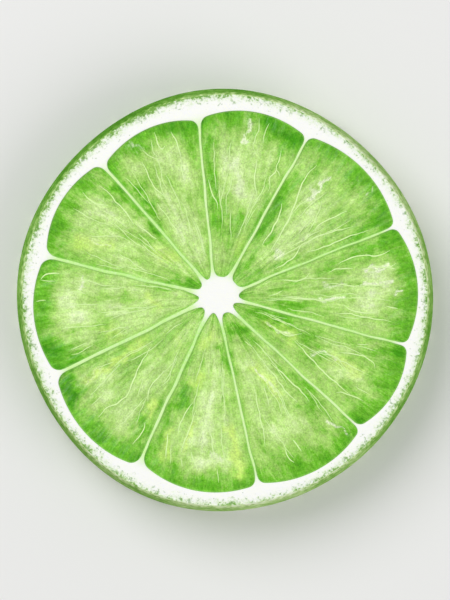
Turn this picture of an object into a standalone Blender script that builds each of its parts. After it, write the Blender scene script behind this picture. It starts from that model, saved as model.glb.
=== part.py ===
"""A slice cut straight across a lime, lying on its lower cut face.

The slice is one piece, as it grew: green skin round the rim, a white pith ring, thin white
walls that run from the ring to a white core, and the pulp between the walls, which stands a
little lower than the walls on both cut faces and swells in ribs that fan out from the core.

Metres, +Z up. The origin is the middle of the lower cut face. Seen from above, +X is right.
"""

import math
from collections import namedtuple

import bmesh
import bpy

MM = 0.001

# The whole lime that the slice is cut from
FRUIT_RADIUS = 25.0 * MM
FRUIT_HALF_LENGTH = 28.5 * MM

# The slice: both cuts are flat, and the widest circle lies nearer to the lower one
THICKNESS = 8.0 * MM
WIDEST_AT = 1.2 * MM
CUT_EDGE = 0.12 * MM

# How the skin's outline departs from a circle: waves round it, height and phase
Wave = namedtuple("Wave", "count height phase")
OUTLINE_WAVES = (
    Wave(2, 0.19 * MM, math.radians(-174)),
    Wave(3, 0.09 * MM, math.radians(12)),
    Wave(4, 0.13 * MM, math.radians(-26)),
    Wave(5, 0.08 * MM, math.radians(113)),
)

# The white core stands a little off the middle
CORE_X = -0.71 * MM
CORE_Y = 0.29 * MM
CORE_RADIUS = 2.45 * MM
CORE_SPIKE = 1.7 * MM

# The walls between the segments, anticlockwise. aside is how far a wall's line passes the
# core's centre on its left, and fillet is the round corner where it joins the pith ring.
Wall = namedtuple("Wall", "direction aside width fillet")
WALLS = (
    Wall(math.radians(22.0), 0.00 * MM, 0.36 * MM, 1.3 * MM),
    Wall(math.radians(60.8), 0.04 * MM, 0.38 * MM, 1.4 * MM),
    Wall(math.radians(95.4), 0.38 * MM, 0.40 * MM, 1.6 * MM),
    Wall(math.radians(131.1), -0.03 * MM, 0.44 * MM, 1.8 * MM),
    Wall(math.radians(166.7), -0.04 * MM, 0.48 * MM, 2.1 * MM),
    Wall(math.radians(206.5), -0.40 * MM, 0.50 * MM, 2.1 * MM),
    Wall(math.radians(245.3), -0.42 * MM, 0.46 * MM, 2.0 * MM),
    Wall(math.radians(282.6), -0.30 * MM, 0.38 * MM, 1.5 * MM),
    Wall(math.radians(317.6), -0.07 * MM, 0.40 * MM, 1.2 * MM),
    Wall(math.radians(345.0), 0.31 * MM, 0.38 * MM, 1.3 * MM),
)

# The segments, each between the wall of the same place in WALLS and the next one. rind is
# skin and pith together on the upper face at the segment's middle, and lean makes it thinner
# to the left.
Segment = namedtuple("Segment", "rind lean")
SEGMENTS = (
    Segment(1.30 * MM, -0.06 * MM),
    Segment(1.76 * MM, -0.18 * MM),
    Segment(1.98 * MM, 0.20 * MM),
    Segment(1.42 * MM, -0.10 * MM),
    Segment(1.26 * MM, 0.08 * MM),
    Segment(1.30 * MM, -0.16 * MM),
    Segment(1.64 * MM, 0.40 * MM),
    Segment(1.22 * MM, 0.22 * MM),
    Segment(1.15 * MM, 0.20 * MM),
    Segment(1.17 * MM, -0.06 * MM),
)
END_BULGE = 0.85 * MM

# Relief of the pulp below the flat of a cut face. On every fourth row a rib sinks to a
# share of its height.
PULP_DROP = 0.55 * MM
PULP_SWELL = 0.14 * MM
RIB_HEIGHT = 0.33 * MM
SAC_ROWS = 4
SAC_GAP = 0.5

# Facets: a segment's columns crowd towards its walls by this share, and folds sharper than
# the angle stay sharp in shading
RIM_STEPS = 120
RIM_ROWS = 5
RIB_COLUMNS = 14
RIB_ROWS = 9
CROWDING = 0.55
SHARP_FOLD = math.radians(35)

# Lime green of the pulp, with a soft wet shine
PULP_GREEN = (0.33, 0.60, 0.10, 1.0)
PULP_ROUGHNESS = 0.35


def fruit_narrowing(z):
    """The lime's radius at height z in the slice, as a share of its widest radius."""
    return math.sqrt(1.0 - ((z - WIDEST_AT) / FRUIT_HALF_LENGTH) ** 2)


def outline_radius(angle):
    """The widest radius of the skin in the direction of angle."""
    waves = sum(w.height * math.cos(w.count * angle - w.phase) for w in OUTLINE_WAVES)
    return FRUIT_RADIUS + waves


def side_angle(wall, radius, side):
    """Direction from the core, at radius, of the wall's left (+1) or right (-1) face."""
    return wall.direction + math.asin((wall.aside + side * wall.width / 2) / radius)


def end_radius(number, angle, across):
    """Distance from the core to the pith ring in the direction of angle, before the corners
    are rounded. across runs from -1 at the segment's right wall to 1 at its left."""
    segment = SEGMENTS[number]
    rind = segment.rind + END_BULGE * across**2 - segment.lean * across
    limit = outline_radius(angle) * fruit_narrowing(THICKNESS) - rind
    # The ring is centred on the slice, and the distance is measured from the core
    along = CORE_X * math.cos(angle) + CORE_Y * math.sin(angle)
    aside = CORE_X * math.sin(angle) - CORE_Y * math.cos(angle)
    return math.sqrt(limit**2 - aside**2) - along


def segment_point(number, across, along):
    """A point of a segment on the upper face, with the core's centre as its origin.
    across is -1 to 1 from wall to wall, and along is 0 to 1 from the core outwards."""
    right = WALLS[number]
    left = WALLS[(number + 1) % len(WALLS)]
    turn = 2 * math.pi if left.direction < right.direction else 0.0
    share = (across + 1) / 2

    def direction(radius):
        low = side_angle(right, radius, 1)
        high = side_angle(left, radius, -1) + turn
        return low + (high - low) * share, (high - low) / 2 * radius

    inner = CORE_RADIUS + CORE_SPIKE * (1 - math.sqrt(max(0.0, 1 - across**2)))
    angle, half_width = direction(FRUIT_RADIUS)
    outer = end_radius(number, angle, across)
    fillet = left.fillet if across > 0 else right.fillet
    reach = max(0.0, 1 - (1 - abs(across)) * half_width / fillet)
    outer -= fillet * (1 - math.sqrt(1 - reach**2))
    radius = inner + (outer - inner) * along
    angle = direction(radius)[0]
    return radius * math.cos(angle), radius * math.sin(angle)


def column_place(column):
    """Where a column stands between a segment's walls, from -1 to 1: closer near them."""
    even = 2 * column / RIB_COLUMNS - 1
    return (1 - CROWDING) * even + CROWDING * math.sin(math.pi / 2 * even)


def pulp_depth(column, row):
    """How far the pulp lies below the cut face: it swells between the walls, in ribs that
    sink where one juice sac ends and the next begins."""
    across = column_place(column)
    height = math.sin(math.pi * row / RIB_ROWS)
    swell = PULP_SWELL * (1 - across**2) * height
    rib = RIB_HEIGHT * (column % 2) * math.sqrt(height)
    sunk = (column // 2 + row) % SAC_ROWS == 0
    return PULP_DROP - swell - rib * (SAC_GAP if sunk else 1.0)


def loop_edges(mesh, loop):
    """The edges round a closed loop of vertices, made where they are missing."""
    pairs = zip(loop, loop[1:] + loop[:1])
    return [mesh.edges.get(pair) or mesh.edges.new(pair) for pair in pairs]


def bridge(mesh, first, second):
    """A band of faces between two closed loops with as many vertices."""
    for i, vertex in enumerate(first):
        j = (i + 1) % len(first)
        mesh.faces.new((vertex, first[j], second[j], second[i]))


def pulp_field(mesh, number, face_z, inwards):
    """One segment's pulp on the cut face at height face_z, and the low step of wall round
    it. inwards is -1 on the upper face and 1 on the lower. Returns the loop at the face."""
    widen = fruit_narrowing(face_z) / fruit_narrowing(THICKNESS)

    def vertex(column, row, z):
        x, y = segment_point(number, column_place(column), row / RIB_ROWS)
        return mesh.verts.new(((CORE_X + x) * widen, (CORE_Y + y) * widen, z))

    def floor_vertex(column, row):
        return vertex(column, row, face_z + inwards * pulp_depth(column, row))

    columns, rows = range(RIB_COLUMNS + 1), range(RIB_ROWS + 1)
    grid = [[floor_vertex(column, row) for row in rows] for column in columns]
    for column in columns[:-1]:
        for row in rows[:-1]:
            mesh.faces.new(
                (
                    grid[column][row],
                    grid[column + 1][row],
                    grid[column + 1][row + 1],
                    grid[column][row + 1],
                )
            )
    edge = [(column, 0) for column in columns[:-1]]
    edge += [(RIB_COLUMNS, row) for row in rows[:-1]]
    edge += [(column, RIB_ROWS) for column in reversed(columns[1:])]
    edge += [(0, row) for row in reversed(rows[1:])]
    rim = [vertex(column, row, face_z) for column, row in edge]
    bridge(mesh, rim, [grid[column][row] for column, row in edge])
    return rim


def skin_loops(mesh):
    """The rows of vertices up the rim, from the lower cut to the upper one."""
    rows = [CUT_EDGE + (THICKNESS - 2 * CUT_EDGE) * i / RIM_ROWS for i in range(RIM_ROWS + 1)]
    places = [(0.0, CUT_EDGE), *((z, 0.0) for z in rows), (THICKNESS, CUT_EDGE)]
    loops = []
    for z, inset in places:
        loop = []
        for step in range(RIM_STEPS):
            angle = 2 * math.pi * step / RIM_STEPS
            radius = outline_radius(angle) * fruit_narrowing(z) - inset
            point = (radius * math.cos(angle), radius * math.sin(angle), z)
            loop.append(mesh.verts.new(point))
        loops.append(loop)
    return loops


def centre_on_origin(mesh):
    """Moves the slice so that the middle of its box stands over the origin."""
    for axis in (0, 1):
        places = [vertex.co[axis] for vertex in mesh.verts]
        middle = (min(places) + max(places)) / 2
        for vertex in mesh.verts:
            vertex.co[axis] -= middle


def slice_mesh():
    """The slice as one closed mesh."""
    mesh = bmesh.new()
    loops = skin_loops(mesh)
    for lower, upper in zip(loops, loops[1:]):
        bridge(mesh, lower, upper)
    for skin, face_z, inwards in ((loops[0], 0.0, 1), (loops[-1], THICKNESS, -1)):
        edges = loop_edges(mesh, skin)
        for number in range(len(SEGMENTS)):
            edges += loop_edges(mesh, pulp_field(mesh, number, face_z, inwards))
        bmesh.ops.triangle_fill(
            mesh, use_beauty=True, edges=edges, normal=(0, 0, -inwards)
        )
    bmesh.ops.recalc_face_normals(mesh, faces=mesh.faces)
    centre_on_origin(mesh)
    data = bpy.data.meshes.new("lime_slice")
    mesh.to_mesh(data)
    mesh.free()
    data.shade_smooth()
    data.set_sharp_from_angle(angle=SHARP_FOLD)
    return data


def lime_material():
    """The pulp's green, which covers most of the slice."""
    material = bpy.data.materials.new("lime")
    material.use_nodes = True
    shader = material.node_tree.nodes["Principled BSDF"]
    shader.inputs["Base Color"].default_value = PULP_GREEN
    shader.inputs["Roughness"].default_value = PULP_ROUGHNESS
    shader.inputs["Metallic"].default_value = 0.0
    return material


def main():
    for old in list(bpy.data.objects):
        bpy.data.objects.remove(old)
    lime_slice = bpy.data.objects.new("lime_slice", slice_mesh())
    lime_slice.data.materials.append(lime_material())
    bpy.context.scene.collection.objects.link(lime_slice)


main()
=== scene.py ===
"""Looks of the lime slice: the skin, the pith with walls and core, and ten fields of pulp.

Lengths are in millimetres until a mesh is made. The layout is the one of the solid: a point
of a segment is given by across (-1 to 1, from its right wall to its left) and along (0 to 1,
from the core outwards), and directions are measured round the core, anticlockwise.
"""

import math
from collections import namedtuple

import bpy
import numpy as np
from mathutils import Color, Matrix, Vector
from mathutils.geometry import delaunay_2d_cdt


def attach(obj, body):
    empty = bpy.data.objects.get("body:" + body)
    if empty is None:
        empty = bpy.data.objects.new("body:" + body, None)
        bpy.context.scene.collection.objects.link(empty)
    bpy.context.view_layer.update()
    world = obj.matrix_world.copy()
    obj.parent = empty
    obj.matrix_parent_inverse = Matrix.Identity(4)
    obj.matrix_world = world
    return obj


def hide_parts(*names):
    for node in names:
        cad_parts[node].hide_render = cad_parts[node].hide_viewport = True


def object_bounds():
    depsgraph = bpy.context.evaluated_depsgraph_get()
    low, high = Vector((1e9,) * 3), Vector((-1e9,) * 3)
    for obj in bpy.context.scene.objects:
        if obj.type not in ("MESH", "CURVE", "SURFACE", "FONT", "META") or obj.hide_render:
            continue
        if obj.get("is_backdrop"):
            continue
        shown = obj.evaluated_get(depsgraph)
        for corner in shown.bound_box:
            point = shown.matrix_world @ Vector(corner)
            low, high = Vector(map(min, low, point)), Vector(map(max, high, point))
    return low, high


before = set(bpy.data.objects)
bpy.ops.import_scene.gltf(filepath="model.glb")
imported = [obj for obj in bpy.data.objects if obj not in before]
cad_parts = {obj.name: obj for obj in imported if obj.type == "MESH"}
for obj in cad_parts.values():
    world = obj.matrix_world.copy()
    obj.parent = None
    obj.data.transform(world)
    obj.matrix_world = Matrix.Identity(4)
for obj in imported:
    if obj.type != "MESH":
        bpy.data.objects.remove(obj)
cad_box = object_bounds()

MM = 0.001
FULL_TURN = 2 * math.pi

# The whole lime and the slice, as in the solid
FRUIT_RADIUS = 25.0
FRUIT_HALF_LENGTH = 28.5
THICKNESS = 8.0
WIDEST_AT = 1.2
CORE = np.array((-0.71, 0.29))
CORE_RADIUS = 2.45

# How the skin's outline departs from a circle: waves round it, height, and phase in degrees
Wave = namedtuple("Wave", "count height phase")
OUTLINE_WAVES = (
    Wave(2, 0.19, -174),
    Wave(3, 0.09, 12),
    Wave(4, 0.13, -26),
    Wave(5, 0.08, 113),
)

# The walls between the segments, anticlockwise, by direction in degrees. aside is how far a
# wall's line passes the core's centre on its left, and fillet is its corner at the pith ring.
Wall = namedtuple("Wall", "direction aside width fillet")
WALLS = (
    Wall(22.0, 0.00, 0.36, 1.3),
    Wall(60.8, 0.04, 0.38, 1.4),
    Wall(95.4, 0.38, 0.40, 1.6),
    Wall(131.1, -0.03, 0.44, 1.8),
    Wall(166.7, -0.04, 0.48, 2.1),
    Wall(206.5, -0.40, 0.50, 2.1),
    Wall(245.3, -0.42, 0.46, 2.0),
    Wall(282.6, -0.30, 0.38, 1.5),
    Wall(317.6, -0.07, 0.40, 1.2),
    Wall(345.0, 0.31, 0.38, 1.3),
)

# The segments, each between the wall of the same place in WALLS and the next one. rind is
# skin and pith together at its middle, lean makes that thinner to the left, and tip moves
# its inner end outwards from CORE_RADIUS.
Segment = namedtuple("Segment", "rind lean tip")
SEGMENTS = (
    Segment(1.30, -0.06, 0.2),
    Segment(1.76, -0.18, 0.1),
    Segment(1.98, 0.20, 0.1),
    Segment(1.42, -0.10, 0.0),
    Segment(1.26, 0.08, -0.1),
    Segment(1.30, -0.16, -0.25),
    Segment(1.64, 0.40, -0.55),
    Segment(1.22, 0.22, -0.5),
    Segment(1.15, 0.20, -0.5),
    Segment(1.17, -0.06, 0.0),
)
END_BULGE = 0.85


def smooth(value, low, high):
    """0 at low, 1 at high, and an even curve between them."""
    share = np.clip((value - low) / (high - low), 0.0, 1.0)
    return share * share * (3 - 2 * share)


def narrowing(z):
    """The lime's radius at height z in the slice, as a share of its widest radius."""
    return np.sqrt(1.0 - ((z - WIDEST_AT) / FRUIT_HALF_LENGTH) ** 2)


FACE_SHARE = narrowing(THICKNESS)
LOWER_FACE_GROWTH = narrowing(0.0) / FACE_SHARE


def wave_sum(waves, angle):
    """The height of all the waves together in the direction of angle."""
    return sum(w.height * np.cos(w.count * angle - math.radians(w.phase)) for w in waves)


def outline_radius(angle):
    """The widest radius of the skin in the direction of angle."""
    return FRUIT_RADIUS + wave_sum(OUTLINE_WAVES, angle)


def round_steps(count):
    """That many directions, evenly round a circle."""
    return np.linspace(0, FULL_TURN, count, endpoint=False)


def polar(radius, angle):
    """Points about the centre that radius and angle are measured from."""
    return np.stack((radius * np.cos(angle), radius * np.sin(angle)), axis=-1)


def box_middle():
    """The middle of the outline's box, which the solid has at its origin."""
    angle = round_steps(3600)
    x, y = polar(outline_radius(angle), angle).T
    return np.array(((x.min() + x.max()) / 2, (y.min() + y.max()) / 2))


MIDDLE = box_middle()


# Random cells and noise, the same on every run

REPEAT = 64
CELL_MARGIN = 0.15
CELL_PLAY = 0.7
FAR_AWAY = 9.0


def lattice(seed, width, height, values):
    """Random values for each crossing of a grid."""
    return np.random.default_rng(seed).random((height, width, values))


def cells(x, y, seed, width=REPEAT, height=REPEAT):
    """Cells round scattered points, one point to each unit square. Returns the distance to
    the nearest point, how much farther the next one is, and the cell's own random value.
    The pattern repeats after width and height squares."""
    table = lattice(seed, width, height, 3)
    column, row = np.floor(x).astype(int), np.floor(y).astype(int)
    first = np.full(x.shape, FAR_AWAY)
    second = np.full(x.shape, FAR_AWAY)
    own = np.zeros(x.shape)
    for dy in (-1, 0, 1):
        for dx in (-1, 0, 1):
            point = table[(row + dy) % height, (column + dx) % width]
            off_x = column + dx + CELL_MARGIN + CELL_PLAY * point[..., 0] - x
            off_y = row + dy + CELL_MARGIN + CELL_PLAY * point[..., 1] - y
            distance = np.hypot(off_x, off_y)
            nearer = distance < first
            second = np.where(nearer, first, np.minimum(second, distance))
            own = np.where(nearer, point[..., 2], own)
            first = np.where(nearer, distance, first)
    return first, second - first, own


def noise(x, y, seed, width=REPEAT, height=REPEAT):
    """Smooth noise from 0 to 1 with a grain of one unit."""
    table = lattice(seed, width, height, 1)[..., 0]
    column, row = np.floor(x).astype(int), np.floor(y).astype(int)
    fx, fy = smooth(x - column, 0, 1), smooth(y - row, 0, 1)

    def at(dx, dy):
        return table[(row + dy) % height, (column + dx) % width]

    low = at(0, 0) * (1 - fx) + at(1, 0) * fx
    high = at(0, 1) * (1 - fx) + at(1, 1) * fx
    return low * (1 - fy) + high * fy


# Layout of the cut face

# A wall has WALL_SHARE of the solid's width, and WALL_ROOT more at the core, which fades over
# the root's length. Its width and its line vary at random, each with a grain of its own.
WALL_SHARE = 0.70
WALL_ROOT = 0.55
WALL_ROOT_LENGTH = 1.3
WALL_UNEVEN = 0.3
WALL_UNEVEN_GRAIN = 1.1
WALL_UNEVEN_SEED = 40
WALL_WANDER = 0.16
WALL_WANDER_GRAIN = 2.3
WALL_WANDER_SEED = 60

# The points of the core's star run this far out between the segments, and a higher power
# makes the ends of the segments flatter
CORE_SPIKE = 1.3
CORE_END_POWER = 3.2

# The corners at the pith ring are rounded by this share of the solid's fillets
FILLET_SHARE = 0.6


def side_angle(number, radius, side):
    """Direction, at radius, of the left (+1) or right (-1) face of the wall of that number.
    A wall wanders a little and thickens towards the core."""
    wall = WALLS[number]
    root = WALL_ROOT * np.exp(-(radius - CORE_RADIUS) / WALL_ROOT_LENGTH)
    level = 0 * radius
    uneven = noise(radius / WALL_UNEVEN_GRAIN, level, WALL_UNEVEN_SEED + number)
    width = wall.width * (WALL_SHARE + root) * (1 - WALL_UNEVEN / 2 + WALL_UNEVEN * uneven)
    wander = noise(radius / WALL_WANDER_GRAIN, level, WALL_WANDER_SEED + number) - 0.5
    aside = wall.aside + WALL_WANDER * wander + side * width / 2
    return math.radians(wall.direction) + np.arcsin(aside / radius)


def end_radius(number, angle, across):
    """Distance from the core to the pith ring, before the corners are rounded."""
    segment = SEGMENTS[number]
    rind = segment.rind + END_BULGE * across**2 - segment.lean * across
    limit = outline_radius(angle) * FACE_SHARE - rind
    along = CORE[0] * np.cos(angle) + CORE[1] * np.sin(angle)
    aside = CORE[0] * np.sin(angle) - CORE[1] * np.cos(angle)
    return np.sqrt(limit**2 - aside**2) - along


def segment_sides(number, radius):
    """Directions, at radius, of a segment's right and left sides."""
    follower = (number + 1) % len(WALLS)
    turn = FULL_TURN if WALLS[follower].direction < WALLS[number].direction else 0.0
    return side_angle(number, radius, 1), side_angle(follower, radius, -1) + turn


def segment_reach(number, across):
    """Distances from the core to a segment's inner and outer end."""
    bow = np.maximum(0.0, 1 - np.abs(across) ** CORE_END_POWER) ** (1 / CORE_END_POWER)
    inner = CORE_RADIUS + SEGMENTS[number].tip + CORE_SPIKE * (1 - bow)
    low, high = segment_sides(number, np.full(np.shape(across), FRUIT_RADIUS))
    outer = end_radius(number, low + (high - low) * (across + 1) / 2, across)
    half_width = (high - low) / 2 * FRUIT_RADIUS
    follower = (number + 1) % len(WALLS)
    fillet = FILLET_SHARE * np.where(across > 0, WALLS[follower].fillet, WALLS[number].fillet)
    reach = np.maximum(0.0, 1 - (1 - np.abs(across)) * half_width / fillet)
    return inner, outer - fillet * (1 - np.sqrt(np.maximum(0.0, 1 - reach**2)))


def segment_place(number, across, along):
    """Radius and direction from the core, and half the segment's width there."""
    inner, outer = segment_reach(number, across)
    radius = inner + (outer - inner) * along
    low, high = segment_sides(number, radius)
    return radius, low + (high - low) * (across + 1) / 2, (high - low) / 2 * radius


def segment_share(number, radius, angle):
    """Across and along of the place at a radius and direction from the core."""
    low, high = segment_sides(number, radius)
    across = (2 * (angle - low) / (high - low) - 1).clip(-1, 1)
    inner, outer = segment_reach(number, across)
    return across, (radius - inner) / (outer - inner)


def from_core(radius, angle):
    """Points of the upper face, about the origin of the outline."""
    return CORE + polar(radius, angle)


def column_places(count, crowding):
    """Values of across from wall to wall, closer near the walls."""
    even = np.linspace(-1, 1, count + 1)
    return (1 - crowding) * even + crowding * np.sin(math.pi / 2 * even)


def segment_loop(number, columns, rows):
    """The closed outline of a segment on the upper face, clockwise."""
    across = column_places(columns, LOOP_CROWDING)
    along = np.linspace(0, 1, rows + 1)
    one_across, one_along = np.ones(columns), np.ones(rows)
    loop_across = np.concatenate((across[:-1], one_along, across[:0:-1], -one_along))
    loop_along = np.concatenate((0 * one_across, along[:-1], one_across, along[:0:-1]))
    radius, angle, _ = segment_place(number, loop_across, loop_along)
    return from_core(radius, angle)


def widened(loop, distance):
    """A closed clockwise loop pushed outwards by distance."""
    ahead = np.roll(loop, -1, axis=0) - np.roll(loop, 1, axis=0)
    ahead /= np.linalg.norm(ahead, axis=1, keepdims=True)
    return loop + distance * np.stack((-ahead[:, 1], ahead[:, 0]), axis=-1)


# Meshes

SHARP_FOLD = math.radians(50)


def grid_faces(rows, columns, start=0, closed=False):
    """Quads over a grid of points numbered row by row. A closed grid's columns go round."""
    steps = columns if closed else columns - 1
    row, column = np.meshgrid(np.arange(rows - 1), np.arange(steps), indexing="ij")
    after = (column + 1) % columns
    corners = (
        row * columns + column,
        row * columns + after,
        (row + 1) * columns + after,
        (row + 1) * columns + column,
    )
    return start + np.stack(corners, axis=-1).reshape(-1, 4)


def side_strip(upper, lower):
    """Quads round the side of a body, between two loops with as many points."""
    return np.stack((upper, lower)).ravel()[grid_faces(2, len(upper), closed=True)]


def add_object(name, data):
    """A new object in the scene."""
    added = bpy.data.objects.new(name, data)
    bpy.context.scene.collection.objects.link(added)
    return added


def make_piece(name, points, faces, attributes, material):
    """A mesh piece in millimetres, with numbers kept on its points for the material."""
    points = points.copy()
    points[:, :2] -= MIDDLE
    mesh = bpy.data.meshes.new(name)
    mesh.from_pydata((points * MM).tolist(), [], [face for f in faces for face in f.tolist()])
    for key, values in attributes.items():
        kind, field = ("FLOAT", "value") if values.ndim == 1 else ("FLOAT_VECTOR", "vector")
        stored = mesh.attributes.new(key, kind, "POINT")
        stored.data.foreach_set(field, values.astype(np.float32).ravel())
    mesh.validate()
    mesh.shade_smooth()
    mesh.set_sharp_from_angle(angle=SHARP_FOLD)
    piece = add_object(name, mesh)
    mesh.materials.append(material)
    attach(piece, "root")
    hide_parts("lime_slice")
    return piece


# The rind: skin, and pith with walls and core

# The skin: steps round it, rows up its side and over its cut edge, how thick it is, how round
# its edge is, and how far it stays inside the solid
ROUND_STEPS = 900
SKIN_ROWS = 36
SKIN_FACE_ROWS = 4
SKIN_DEPTH = 0.42
CUT_ROUND = 0.10
SKIN_MARGIN = 0.01

# Pores in the skin's side and oil glands in its cut edge: distance apart, depth, random seed,
# and radius and slope as shares of the distance apart. The smallest pore has a share
# PORE_LEAST of the depth, and pores fade out within PORE_CLEAR of the cuts.
PORE_PITCH = 0.95
PORE_DEPTH = 0.085
PORE_SEED = 7
PORE_RADIUS = 0.44
PORE_SLOPE = 0.36
PORE_LEAST = 0.35
PORE_CLEAR = 0.4
GLAND_PITCH = 0.5
GLAND_DEPTH = 0.05
GLAND_SEED = 9
GLAND_RADIUS = 0.42
GLAND_SLOPE = 0.3

# The pith: facets round a segment, closer near the walls by the crowding, and size of a facet
LOOP_COLUMNS = 44
LOOP_ROWS = 84
LOOP_CROWDING = 0.8
PITH_GRAIN = 0.45

# The walls' edges are rounded in two steps, the first at this share of the rounding, and the
# holes for the segments have a row of points at this distance from both cuts
WALL_ROUND = 0.07
FIRST_ROUND = 0.4
HOLE_ROW = 1.0

# Painted shade round the rim: the green is drawn further into the rind and the skin darker, most
# on the upper left side; a mean and waves round the slice
SIDE_SHADE_MEAN = 0.07
SIDE_SHADE_WAVES = (
    Wave(1, 0.24, 134),
    Wave(2, 0.18, -77),
    Wave(3, 0.16, -40),
)


def skin_pores(angle, z):
    """How open the pores of the skin are at each place: 1 in the middle of a wide one."""
    around = round(FULL_TURN * FRUIT_RADIUS / PORE_PITCH)
    x, y = angle / FULL_TURN * around, z / PORE_PITCH + 5
    first, _, own = cells(x, y, PORE_SEED, width=around)
    pore = smooth(PORE_RADIUS - first, 0.0, PORE_SLOPE)
    return pore * (PORE_LEAST + (1 - PORE_LEAST) * own)


def cut_glands(angle, inset):
    """How open the oil glands are that the cut laid bare in the skin's edge."""
    around = round(FULL_TURN * FRUIT_RADIUS / GLAND_PITCH)
    x, y = angle / FULL_TURN * around, inset / GLAND_PITCH
    first, _, own = cells(x, y, GLAND_SEED, width=around)
    gland = smooth(GLAND_RADIUS - first, 0.0, GLAND_SLOPE) * smooth(own, 0.25, 0.6)
    return gland * smooth(inset, 0.12, 0.25) * smooth(SKIN_DEPTH - inset, 0.0, 0.1)


def painted_side_shade(points):
    """Painted shade round the rim: how much darker it is drawn, which differs from side to side.
    """
    return SIDE_SHADE_MEAN + wave_sum(SIDE_SHADE_WAVES, np.arctan2(points[:, 1], points[:, 0]))


def face_rim(inset):
    """A ring of points of the upper face, at inset from the skin."""
    angle = round_steps(ROUND_STEPS)
    return polar(outline_radius(angle) * FACE_SHARE - inset, angle)


def outside_all(point, loops):
    """Whether a point lies outside all the closed loops."""
    for loop in loops:
        a, b = loop, np.roll(loop, -1, axis=0)
        spans = (a[:, 1] > point[1]) != (b[:, 1] > point[1])
        rise = np.where(spans, b[:, 1] - a[:, 1], 1.0)
        cross = a[:, 0] + (point[1] - a[:, 1]) / rise * (b[:, 0] - a[:, 0])
        if np.count_nonzero(spans & (cross > point[0])) % 2:
            return False
    return True


def face_grid(loops):
    """Even points of the pith's face: inside the first loop, outside the segments' own, and
    not too near to any of them."""
    size = int(2 * FRUIT_RADIUS / PITH_GRAIN)
    steps = (np.arange(size) - size / 2) * PITH_GRAIN
    grid = np.stack(np.meshgrid(steps, steps), axis=-1).reshape(-1, 2)
    rim = outline_radius(np.arctan2(grid[:, 1], grid[:, 0])) * FACE_SHARE - SKIN_DEPTH
    grid = grid[np.hypot(grid[:, 0], grid[:, 1]) < rim - 0.6 * PITH_GRAIN]
    fixed = np.concatenate(loops)
    near = np.array([np.min(np.sum((fixed - p) ** 2, axis=1)) for p in grid])
    grid = grid[near > (0.5 * PITH_GRAIN) ** 2]
    return np.array([p for p in grid if outside_all(p, loops[1 : len(SEGMENTS) + 1])])


def pith_layout():
    """The part of the upper face inside the skin: points, triangles, and the loops' places.
    The first loop is the pith's rim."""
    loops = [face_rim(SKIN_DEPTH)]
    for number in range(len(SEGMENTS)):
        loops.append(segment_loop(number, LOOP_COLUMNS, LOOP_ROWS))
    for distance in (WALL_ROUND * FIRST_ROUND, WALL_ROUND):
        loops += [widened(loop, distance) for loop in loops[1 : len(SEGMENTS) + 1]]
    edges, places, start = [], [], 0
    for loop in loops:
        numbers = np.arange(start, start + len(loop))
        places.append(numbers)
        edges += list(zip(numbers.tolist(), np.roll(numbers, -1).tolist()))
        start += len(loop)
    points = np.concatenate((*loops, face_grid(loops)))
    coords = [Vector(p) for p in points]
    found, _, triangles, sources, _, _ = delaunay_2d_cdt(coords, edges, [], 0, 1e-6)
    assert len(found) == len(points), (len(found), len(points))
    back = np.array([source[0] for source in sources])
    triangles = back[np.array(triangles)]
    ring = np.full(len(points), -1)
    for number in range(1, len(SEGMENTS) + 1):
        ring[places[number]] = number
    kinds = ring[triangles]
    hole = (kinds[:, 0] > 0) & np.all(kinds == kinds[:, :1], axis=1)
    return points, triangles[~hole], places


def make_pith(material):
    """Pith ring, walls and core as one closed body with a hole for each segment."""
    face, triangles, places = pith_layout()
    hole_loops = places[1 : len(SEGMENTS) + 1]
    drop = np.zeros(len(face))
    for numbers in hole_loops:
        drop[numbers] = WALL_ROUND
    for numbers in places[len(SEGMENTS) + 1 : 2 * len(SEGMENTS) + 1]:
        drop[numbers] = WALL_ROUND - WALL_ROUND * math.sqrt(1 - (1 - FIRST_ROUND) ** 2)
    count = len(face)
    sheets = [
        np.column_stack((face, THICKNESS - drop)),
        np.column_stack((face * LOWER_FACE_GROWTH, drop)),
    ]
    faces = [triangles, triangles[:, ::-1] + count]
    faces.append(side_strip(places[0], places[0] + count)[:, ::-1])
    start = 2 * count
    for numbers in hole_loops:
        size = len(numbers)
        chain = [numbers]
        for z in (THICKNESS - HOLE_ROW, HOLE_ROW):
            growth = 1 + (LOWER_FACE_GROWTH - 1) * (1 - z / THICKNESS)
            sheets.append(np.column_stack((face[numbers] * growth, np.full(size, z))))
            chain.append(np.arange(start, start + size))
            start += size
        chain.append(numbers + count)
        quads = grid_faces(len(chain), size, closed=True)
        faces.append(np.stack(chain).ravel()[quads][:, ::-1])
    points = np.concatenate(sheets)
    skin_at = outline_radius(np.arctan2(face[:, 1], face[:, 0])) * FACE_SHARE
    depth = np.full(len(points), FRUIT_RADIUS)
    depth[: 2 * count] = np.tile(skin_at - np.hypot(face[:, 0], face[:, 1]), 2)
    from_middle = np.hypot(points[:, 0] - CORE[0], points[:, 1] - CORE[1])
    wall = smooth(from_middle, CORE_RADIUS - 0.4, CORE_RADIUS + 1.3) * smooth(depth, 2.0, 4.0)
    # Painted shade: the rim is drawn darker on one side
    attributes = {"depth": depth, "wall": wall, "side_shade": painted_side_shade(points)}
    return make_piece("pith_and_walls", points, faces, attributes, material)


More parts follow.
